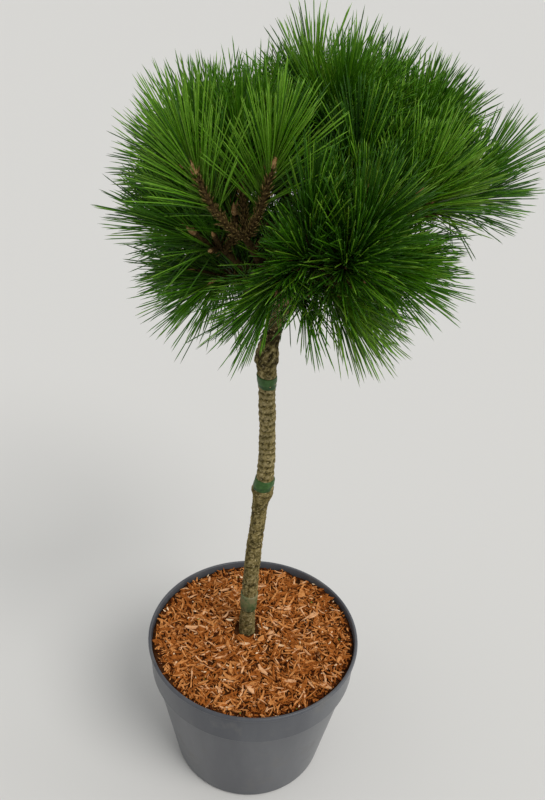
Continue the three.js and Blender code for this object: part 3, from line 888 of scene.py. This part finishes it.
def trunk_relief(points, angles, heights):
    """How far the bark stands out at each point of the trunk, as a share of its relief."""
    z = heights[:, None] + np.zeros_like(angles)[None]
    around = angles[None] / TAU
    wobble = 0.35 * waves(points, 26, 5)
    scarred = scales(around * SCARS_ROUND + wobble, z / SCAR_HEIGHT + 0.18 * waves(points, 20, 6))
    in_scars = smooth_step(SCARS[0] - 10, SCARS[0] + 8, z) * (1 - smooth_step(SCARS[1] + 8, SCARS[1] + 24, z))
    high = smooth_step(GRAFT[1] - 4, GRAFT[1] + 14, z)
    smooth = 0.4 * waves(points, 6, 7) + 0.55 * waves(points, 2.6, 8)
    low = smooth.copy()
    rng = np.random.default_rng(9)
    for height in CRACKS:
        middle = rng.uniform(0, TAU)
        reach = rng.uniform(0.8, 2.2)
        aside = np.abs((angles[None] - middle + math.pi) % TAU - math.pi)
        line = height + 1.5 * np.sin(2 * (angles[None] - middle)) + 0.6 * waves(points, 9, height)
        low -= 1.5 * np.exp(-((z - line) / 0.9) ** 2) * (1 - smooth_step(reach * 0.7, reach, aside))
    in_graft = smooth_step(GRAFT[0], GRAFT[0] + 8, z) * (1 - high)
    rough = 0.9 * waves(points, 6, 10) + 0.5 * waves(points, 2.6, 11) - 0.35
    for height in GRAFT_RINGS:
        rough -= 2.6 * np.exp(-((z - height - 0.8 * np.sin(angles[None] + 1)) / 1.8) ** 2)
    relief = low * (1 - np.maximum(in_scars, np.maximum(in_graft, high)))
    relief += in_scars * (1 - in_graft) * (scarred * 0.85 + 0.5 * smooth)
    relief += in_graft * rough
    relief += high * (scales(around * 6, z / 5.5) * 0.8 + 0.3 * smooth - 0.35)
    return relief


def add_trunk():
    heights = np.linspace(TRUNK_FOOT, TRUNK_TIP, int((TRUNK_TIP - TRUNK_FOOT) / TRUNK_STEP))
    angles = angles_of(TRUNK_SIDES)
    middle, radius = trunk_at(heights)
    outward = level_directions(angles)
    plain = middle[:, None] + radius[:, None, None] * outward[None]
    relief = trunk_relief(plain, angles, heights)
    lumps = 0.35 * waves(plain, 34, 12)
    for height, direction, width, rise in KNOTS:
        aside = (angles - math.radians(direction) + math.pi) % TAU - math.pi
        away = ((heights[:, None] - height) / width) ** 2 + (aside[None] * radius[:, None] / width) ** 2
        lumps += rise * np.exp(-away)
    rows = plain + (SCAR_RELIEF * relief + lumps)[..., None] * outward[None]
    rows[0] = plain[0]
    finish = bark("trunk bark", (0.2, 0.157, 0.056), (0.09, 0.072, 0.022), (0.016, 0.011, 0.003),
                  (0.52, 0.43, 0.23))
    trunk = make_piece("trunk_bark", *skin(rows), finish, "bark", relief.ravel())
    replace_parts(trunk, "trunk")


def scaly_tube(heap, path, radius_from, radius_to, scaling, seed):
    """Adds a scaly limb or twig along a path to a heap."""
    sides, step, scale_height, scales_round, depth = scaling
    length = np.linalg.norm(np.diff(path, axis=0), axis=1).sum()
    rings = max(4, int(length / step))
    shares = np.linspace(0, 1, len(path))
    even = np.linspace(0, 1, rings)
    fine = np.stack([np.interp(even, shares, path[:, axis]) for axis in range(3)], axis=-1)
    angles = angles_of(sides)
    along = even[:, None] * length + np.zeros(sides)[None]
    pattern = scales(angles[None] / TAU * scales_round + 0.13 * seed, along / scale_height + 0.37 * seed)
    radii = (radius_from + (radius_to - radius_from) * even)[:, None] + depth * pattern
    rows = tube_rows(fine, radii, sides)
    heap.add(*skin(rows), pattern.ravel())


def add_boughs(heads):
    heap = Heap()
    nodes = []
    for i, head in enumerate(heads):
        if head["curve"] is None:
            continue
        path = bezier(head["curve"], np.linspace(0, BOUGH_SHARE, 24))
        scaly_tube(heap, path, BOUGH_ROOT_RADIUS, BOUGH_TIP_RADIUS, BOUGH_SCALES, i)
        nodes.append("bough_" + head["name"])
    finish = bark("bough bark", (0.17, 0.115, 0.055), (0.1, 0.062, 0.03), (0.025, 0.014, 0.006),
                  (0.3, 0.2, 0.1), 260.0)
    boughs = heap.piece("boughs_bark", finish, "bark")
    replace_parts(boughs, *nodes)


def add_tape(name, finish):
    """A band of tape in two turns, its edges slanting a little and its upper turn over the lower."""
    lower, upper, slant = TAPES[name]
    sides = 96
    angles = angles_of(sides)
    shares = np.linspace(0, 1, 12)
    edge = slant * np.sin(angles - 0.6)
    z = lower + (upper - lower) * shares[:, None] + edge[None]
    middle, radius = trunk_at(z.ravel())
    middle, radius = middle.reshape(len(shares), sides, 3), radius.reshape(len(shares), sides)
    outward = level_directions(angles)[None]
    over = smooth_step(-0.03, 0.03, shares[:, None] - 0.42 - 0.1 * np.sin(angles + 1.2)[None])
    creases = 0.16 * waves(middle + radius[..., None] * outward, 5, 13)
    thick = 0.55 * TAPE_THICKNESS + 0.4 * over + creases
    thick[0] -= 0.35
    thick[-1] -= 0.35
    outside = middle + (radius + 0.3 + thick)[..., None] * outward
    inside = middle + (radius - 0.4)[..., None] * outward
    rows = np.concatenate([inside[5:0:-1], inside[:1], outside, inside[:5:-1]])
    values = np.concatenate([np.full((6, sides), -1.0), over - 0.6 + 2 * creases, np.full((6, sides), -1.0)])
    faces = bands([(row, (row + 1) % len(rows)) for row in range(len(rows))], sides)
    band = make_piece(name + "_band", rows.reshape(-1, 3), faces, finish, "tape", values.ravel())
    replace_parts(band, name)


# Crown

def lay_out_heads():
    """Limbs and shoots of every head of foliage, as the part's source lays them out."""
    heads = []
    for i, (name, (azimuth, reach, height, bend, lift, swing, turn)) in enumerate(CROWN.items()):
        angle = math.radians(azimuth)
        head = np.array((reach * math.cos(angle), reach * math.sin(angle), height)) + CROWN_AXIS
        root_height = LOWEST_ROOT + ROOT_STEP * i
        root = np.array([np.interp(root_height, TRUNK[:, 0], TRUNK[:, 1]),
                         np.interp(root_height, TRUNK[:, 0], TRUNK[:, 2]), root_height])
        middle = root + (head - root) * (0.5 + BEND_SHIFT * bend)
        middle[2] += (root[2] + BEND_RISE - middle[2]) * bend
        curve = (root, middle, head)
        heads.append({
            "name": name, "curve": curve,
            "start": bezier(curve, BOUGH_SHARE), "fork": bezier(curve, FORK_SHARE),
            "aim": bezier_aim(curve, FORK_SHARE), "head": head, "shoots": SHOOTS, "turn": turn,
            "seed": TWIG_SEED + i, "pull": np.array((swing, 0, lift)),
            "sag": LOW_SAG + (NEEDLE_SAG - LOW_SAG) * min(1, 1.5 * bend),
            "density": 1 if bend > 0.5 else OPEN_DENSITY, "sides": 3 if bend > 0.5 or head[1] > 0 else 2,
        })
    leader = TRUNK[-1, [1, 2, 0]]
    heads.append({
        "name": "top", "curve": None, "start": leader, "fork": leader + (TOP_HEAD - leader) * TOP_FORK_SHARE,
        "aim": np.array((0.0, 0.0, 1.0)), "head": TOP_HEAD, "shoots": TOP_SHOOTS, "turn": TOP_TURN,
        "seed": TOP_SEED, "pull": np.array((0, 0, TOP_LIFT)), "sag": NEEDLE_SAG,
        "density": OPEN_DENSITY, "sides": 2,
    })
    for head in heads:
        head["tips"] = shoot_tips(head)
        along = [head["fork"] + (tip - head["fork"]) * FOLIAGE_MIDDLE for tip in head["tips"]]
        head["middle"] = np.mean(along, axis=0)
    return heads


def shoot_tips(head):
    random = random_from(head["seed"])
    axis = unit(head["head"] - head["fork"])
    across, over = sideways(axis)
    tips = []
    for k in range(head["shoots"]):
        angle = math.radians(head["turn"]) + TAU * k / head["shoots"] + SHOOT_SWAY * (random() - 0.5)
        sway = 1 + SHOOT_SWAY * (2 * random() - 1)
        out = SHOOT_SPREAD * sway * (across * math.cos(angle) + over * math.sin(angle))
        tips.append(head["head"] + out + axis * SHOOT_STAGGER * (random() - 0.5))
    return tips


def twigs_of(head):
    """Curved shoots of a head of foliage, each with its side shoots: path, and whether it is a side one."""
    rng = np.random.default_rng(NEEDLE_SEED + head["seed"])
    twigs = []
    side_shares = () if head["name"] == BARE_HEAD else SIDE_SHOOTS[:head["sides"]]
    for tip in head["tips"]:
        length = np.linalg.norm(tip - head["fork"])
        aim = unit(unit(tip - head["fork"]) + head["pull"])
        end = tip + (BARE_STRETCH * aim if head["name"] == BARE_HEAD else 0)
        curve = (head["fork"], tip - 0.5 * length * aim, end)
        twigs.append((bezier(curve, np.linspace(0, 1, 14)), False))
        around = rng.uniform(0, TAU)
        for i, share in enumerate(side_shares):
            root = bezier(curve, share)
            aim = bezier_aim(curve, share)
            across, over = sideways(aim)
            angle = around + math.pi * i + rng.uniform(-0.5, 0.5)
            lean = rng.uniform(*SIDE_LEAN)
            out = across * math.cos(angle) + over * math.sin(angle)
            direction = aim * math.cos(lean) + out * math.sin(lean)
            direction = unit(direction + SIDE_PULL * head["pull"])
            reach = rng.uniform(*SIDE_LENGTH)
            end = root + direction * reach
            bend = root + (direction - 0.1 * head["pull"]) * reach * 0.5
            twigs.append((bezier((root, bend, end), np.linspace(0, 1, 10)), True))
    return twigs


def above_foot(points):
    """True for points above the crown's foot, which rises round the bare trunk and toward the front."""
    centre, _ = trunk_at(np.clip(points[:, 2], TRUNK_FOOT, TRUNK_TIP))
    across, back = (points[:, :2] - centre[:, :2]).T
    arch = ARCH_RISE * np.maximum(0, 1 - np.hypot(across, back) / ARCH_WIDTH)
    arch += OUTER_RISE * np.maximum(0, np.abs(across) - OUTER_WIDTH)
    slope = FRONT_RISE + PARTING_RISE * np.maximum(0, 1 - np.abs(across) / PARTING_WIDTH)
    return points[:, 2] > CROWN_FOOT + arch + slope * np.maximum(0, -back)


def in_own_space(points, head, heads):
    """True for points that lie nearer to their head's middle than to any other's, or not far past that."""
    fits = np.ones(len(points), bool)
    for other in heads:
        across = other["middle"] - head["middle"]
        half = np.linalg.norm(across) / 2
        if half > 0:
            before_bare = (other["name"] == BARE_HEAD) & (points[:, 1] < other["middle"][1] + BARE_DEPTH)
            past = np.where(before_bare, BARE_SPACE_PAST, SPACE_PAST)
            fits &= (points - head["middle"]) @ across / (2 * half) <= half + past
    return fits


def sprout(path, share, turn, lean):
    """Points at shares of the way along a twig, its direction there, and directions that lean out of it."""
    steps = share * (len(path) - 1)
    low = np.minimum(steps.astype(int), len(path) - 2)
    part = (steps - low)[:, None]
    roots = path[low] * (1 - part) + path[low + 1] * part
    axis = unit(path[low + 1] - path[low])
    helper = np.where(np.abs(axis[:, 2:3]) > 0.95, (0.0, 1.0, 0.0), (0.0, 0.0, 1.0))
    across = unit(np.cross(helper, axis))
    out = across * np.cos(turn)[:, None] + np.cross(axis, across) * np.sin(turn)[:, None]
    return roots, axis, axis * np.cos(lean)[:, None] + out * np.sin(lean)[:, None]


def bracts_of(path, radius, last, rng):
    """Paths of the papery scales that stand out all round a twig, up to a share of its length."""
    length = np.linalg.norm(np.diff(path, axis=0), axis=1).sum()
    count = int(BRACTS_PER_MM * length * last)
    k = np.arange(count)
    turn = GOLDEN_ANGLE * k + rng.normal(0, 0.2, count)
    lean = rng.uniform(*BRACT_LEAN, count)
    roots, axis, direction = sprout(path, last * (k + 0.5) / count, turn, lean)
    roots += unit(direction - axis * np.cos(lean)[:, None]) * (radius - 0.4)
    t = np.array([ring[0] for ring in BRACT_RINGS])[None, :, None]
    reach = rng.uniform(*BRACT_LENGTH, count)[:, None, None]
    return roots[:, None] + direction[:, None] * reach * t


def needles_of(path, is_side, first, sag, rng):
    """Paths of the needles of one twig, in pairs by the golden angle, leaning less toward its tip."""
    pairs = PAIRS_PER_SIDE if is_side else PAIRS_PER_SHOOT
    k = np.arange(pairs)
    along = ((k + 0.5) / pairs) ** 0.9
    turn = GOLDEN_ANGLE * k + rng.uniform(0, TAU)
    lean = LEAN_AT_FOOT + (LEAN_AT_TIP - LEAN_AT_FOOT) * along
    lean *= rng.uniform(1 - LEAN_SWAY, 1 + LEAN_SWAY, pairs)
    roots, axis, direction = sprout(path, first + (1 - first) * along, turn, lean)
    length = rng.uniform(*(SIDE_NEEDLE_LENGTH if is_side else NEEDLE_LENGTH), pairs)
    bow = unit(axis - direction * np.sum(axis * direction, axis=1, keepdims=True) + 1e-6)
    hinge = unit(np.cross(direction, rng.normal(size=(pairs, 3))))
    found = []
    for sign in (-1, 1):
        open_by = sign * rng.uniform(*PAIR_SPREAD, pairs)[:, None]
        aim = unit(direction + hinge * open_by)
        reach = (length * rng.uniform(0.93, 1.0, pairs))[:, None, None]
        t = np.array([ring[0] for ring in NEEDLE_RINGS])[None, :, None]
        needle = roots[:, None] + aim[:, None] * reach * t
        needle += bow[:, None] * reach * NEEDLE_BOW * 4 * t * (1 - t)
        needle[..., 2:] -= sag * reach * t * t
        found.append(needle)
    return np.concatenate(found)


def shade_odds(height):
    """How likely each of the greens is for a spray: dark ones low down as painted shade, fresh ones at the
    top as younger growth and painted light.
    """
    return np.maximum(0.02, (0.9 - 0.9 * height, 0.65 - 0.3 * height, 0.95 * height * abs(height), 0.2))


def add_crown(heads):
    """Stems, twigs, buds and needles, each kind apart, with the shades of green dealt out by spray."""
    rng = np.random.default_rng(SPRAY_SEED)
    sprays = {shade: [] for shade in GREENS}
    bracts = []
    wood = Heap()
    buds = Heap()
    for number, head in enumerate(heads):
        is_bare = head["name"] == BARE_HEAD
        girth = BARE_GIRTH if is_bare else 1
        stem = np.array([head["start"] - head["aim"] * 1.5, head["start"], head["fork"]])
        scaly_tube(wood, stem, BOUGH_TIP_RADIUS + STEM_COLLAR, SHOOT_RADIUS, STEM_SCALES, number)
        for path, is_side in twigs_of(head):
            start = SHOOT_RADIUS * girth * (SIDE_GIRTH[0] if is_side else 1)
            end = SHOOT_TIP_RADIUS * girth * (SIDE_GIRTH[1] if is_side else 1)
            scaly_tube(wood, path, start, end, TWIG_SCALES, number)
            bud_size = SIDE_BUD if is_side else BARE_BUD if is_bare else 1
            add_bud(buds, path[-1], unit(path[-1] - path[-2]), rng.uniform(*BUD_LENGTH), bud_size)
            first = SIDE_PAIRS_FROM if is_side else BARE_SHARE if is_bare else PAIRS_FROM
            bracts.append(bracts_of(path, end, 1 if is_bare else first, rng))
            needles = needles_of(path, is_side, first, head["sag"], rng)
            needles = needles[rng.random(len(needles)) < head["density"]]
            forward = BARE_FORWARD if is_bare else HALF_BARE.get(head["name"], NEEDLE_LENGTH[1])
            needles = needles[needles[:, -1, 1] - needles[:, 0, 1] > -forward]
            needles = needles[above_foot(needles[:, -1]) & in_own_space(needles[:, -1], head, heads)]
            # A spray's green goes by its height, side shoots counting lower: painted shade low and inside the
            # crown, painted light at the top
            height = (path[-1][2] - CROWN_FOOT) / CROWN_HEIGHT - (SIDE_PAINTED_SHADE if is_side else 0)
            odds = shade_odds(BARE_SHADE if is_bare else height)
            main = rng.choice(len(GREENS), p=odds / odds.sum())
            stray = rng.random(len(needles)) < STRAY_SHARE
            dealt = np.where(stray, rng.integers(0, len(GREENS), len(needles)), main)
            for k, shade in enumerate(GREENS):
                sprays[shade].append(needles[dealt == k])
    twig_bark = bark("twig bark", (0.06, 0.036, 0.011), (0.035, 0.02, 0.006), (0.01, 0.006, 0.002),
                     (0.15, 0.1, 0.035), 300)
    papery = bark("papery bracts", (0.19, 0.13, 0.036), (0.07, 0.048, 0.011), (0.022, 0.014, 0.004),
                  (0.5, 0.36, 0.16), 300)
    bud_scales = bark("bud scales", (0.36, 0.21, 0.08), (0.24, 0.115, 0.04), (0.09, 0.04, 0.015),
                      (0.64, 0.46, 0.24), 420)
    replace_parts(wood.piece("twigs_wood", twig_bark, "bark"), *["needles_" + head["name"] for head in heads])
    buds.piece("buds", bud_scales, "bark")
    add_rods("bracts", np.concatenate(bracts), BRACT_RADIUS, BRACT_RINGS, papery, "bark", rng)
    for shade, found in sprays.items():
        green = needle_green("needle " + shade + " green", *GREENS[shade])
        add_rods("needles_" + shade, np.concatenate(found), NEEDLE_RADIUS, NEEDLE_RINGS, green,
                 "needles", rng)


def add_rods(name, paths, radius, rings, finish, slot, rng):
    """One mesh of needles or bracts, three-sided, with the tones of their rings."""
    shares, tones = np.array(rings)[:, 1:].T
    radii = radius * rng.uniform(0.85, 1.12, len(paths))[:, None] * shares[None]
    points, faces = rods(paths, radii, 3, rng.uniform(0, TAU, len(paths)))
    tones = [*np.repeat(tones[:-1], 3), tones[-1]]
    make_piece(name, points, faces, finish, slot, np.tile(tones, len(paths)))


def add_bud(heap, place, aim, length, size):
    """A pointed bud wrapped in scales."""
    shares = np.linspace(0, 1, 9)
    radii = BUD_RADIUS * size * np.array(BUD_PROFILE)
    angles = angles_of(10)
    pattern = scales(angles[None] / TAU * 5 + np.zeros((9, 1)), shares[:, None] * 4 + np.zeros((1, 10)))
    path = place + aim * (shares[:, None] * (length * size + 1) - 1)
    rows = tube_rows(path, radii[:, None] * (1 + 0.12 * pattern), 10)
    heap.add(*skin(rows), pattern.ravel())


add_camera()
add_floor()
add_lights()
add_pot()
medium = frame["nodes"]["growing_medium"]
medium.data.materials.clear()
medium.data.materials.append(peat())
add_bed()
add_chips()
add_trunk()
add_tape("tie_low", tape("faded tape", (0.045, 0.1, 0.032), (0.17, 0.155, 0.075), 0.38, 0.58, 0.5))
green_tape = tape("green tape", (0.024, 0.077, 0.011), (0.06, 0.145, 0.035), 0.5, 0.75, 0.36)
add_tape("tie_middle", green_tape)
add_tape("tie_top", green_tape)
all_heads = lay_out_heads()
add_boughs(all_heads)
add_crown(all_heads)
